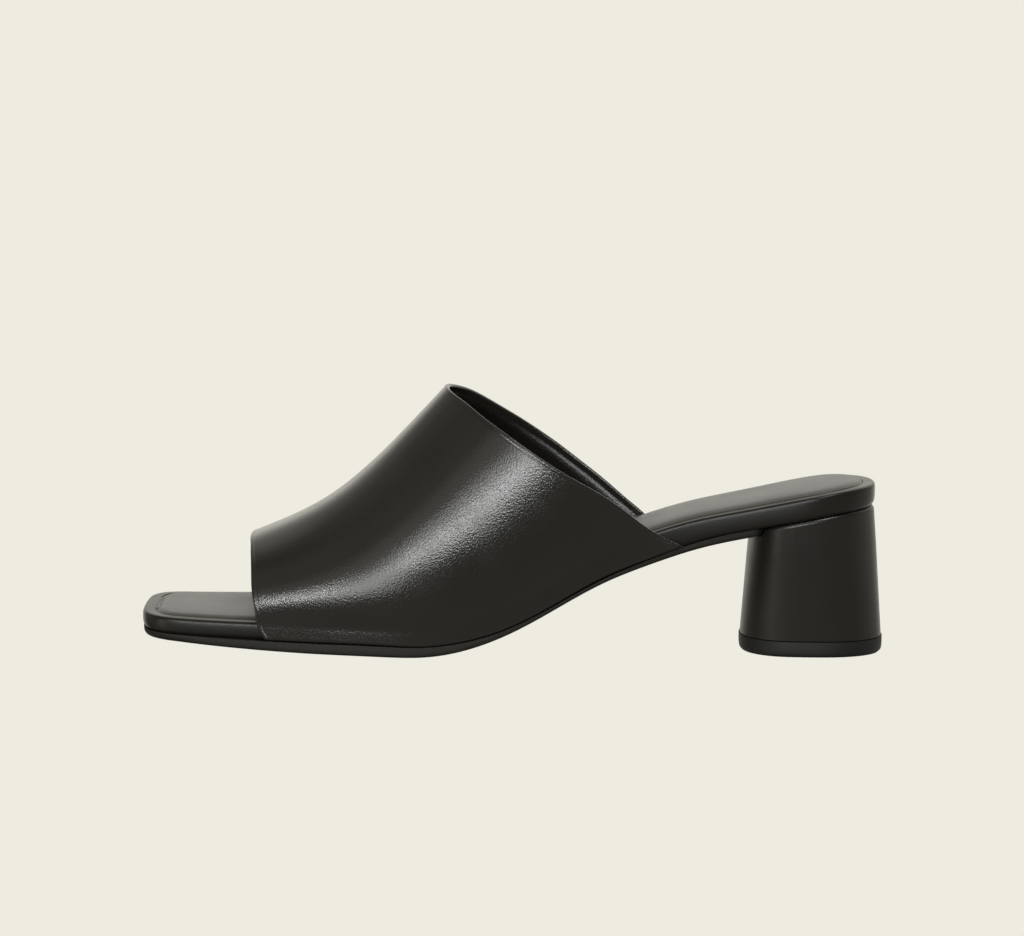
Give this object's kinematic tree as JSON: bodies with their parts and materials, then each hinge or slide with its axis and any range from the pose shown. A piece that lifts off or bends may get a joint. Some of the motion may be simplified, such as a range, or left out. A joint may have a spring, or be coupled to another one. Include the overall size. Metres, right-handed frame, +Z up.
{
  "type": "block heel mule",
  "caption": "Backless slip-on shoe with a soft square open toe, one smooth wrap-over upper, a padded footbed and a rounded block heel; the left shoe, standing empty.",
  "frame": {"origin": "on the floor, under the middle of the shoe's bounding box", "axes": "+X from the toe to the heel, +Y from the outer side to the inner side, +Z up"},
  "size_m": [0.2432, 0.0812, 0.085],
  "materials": {
    "outsole": "matte, near black",
    "footbed": "smooth wrapped leather, semi-matte near black",
    "insole": "soft lining leather, matte, warm near black",
    "upper": "smooth calf leather with a fine grain and a broad soft sheen, near black",
    "heel": "smooth wrapped leather, satin near black",
    "top_lift": "matte, near black"
  },
  "bodies": {
    "root": {"outsole": "outsole", "footbed": "footbed", "insole": "insole", "upper": "upper", "heel": "heel", "top_lift": "top_lift"}
  },
  "joints": []
}
